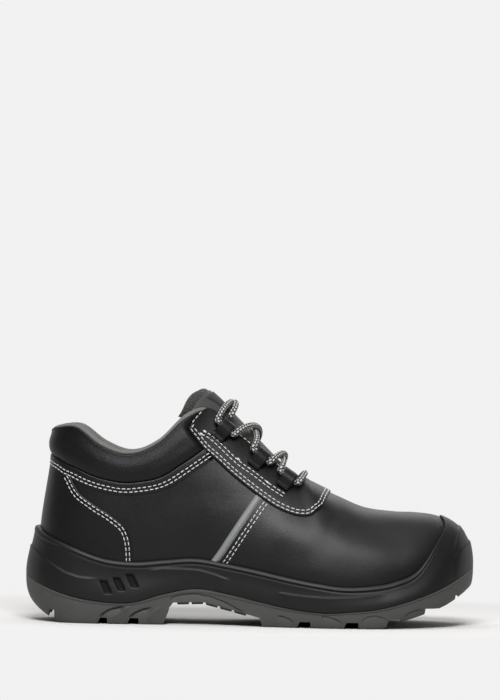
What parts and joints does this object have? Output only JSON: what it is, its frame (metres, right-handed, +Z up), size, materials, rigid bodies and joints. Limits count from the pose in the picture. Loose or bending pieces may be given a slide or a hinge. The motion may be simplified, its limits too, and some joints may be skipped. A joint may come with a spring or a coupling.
{
  "type": "safety shoe",
  "caption": "Low-cut safety shoe for the right foot: hollow leather upper on a moulded cup sole with toe scuff cap, padded collar, tongue and looped lace.",
  "frame": {"origin": "centre of the shoe's box, on the floor under the sole", "axes": "+X towards the toe, -Y towards the outer side of the foot, +Z up"},
  "size_m": [0.3053, 0.108, 0.1596],
  "materials": {
    "black_leather": "smooth corrected grain, satin",
    "black_foam": "moulded, matt",
    "grey_rubber": "moulded, matt",
    "grey_textile": "knitted",
    "dark_mesh": "mesh and coated cloth",
    "reflective_grey": "reflective strip",
    "black_cord": "braided, flecked with grey"
  },
  "bodies": {
    "root": {"outsole": "grey_rubber", "midsole": "black_foam", "upper": "black_leather", "insole": "grey_textile", "tongue": "dark_mesh", "collar": "black_leather", "counter": "black_leather", "eyestay": "black_leather", "piping_outer": "reflective_grey", "piping_inner": "reflective_grey", "lace_loop_outer_1": "black_leather", "lace_loop_outer_2": "black_leather", "lace_loop_outer_3": "black_leather", "lace_loop_inner_1": "black_leather", "lace_loop_inner_2": "black_leather", "lace_loop_inner_3": "black_leather", "lace_bar": "black_cord", "lace_cross_low": "black_cord", "lace_cross_high": "black_cord", "lace_top_back": "black_cord", "lace_top_front": "black_cord"}
  },
  "joints": []
}
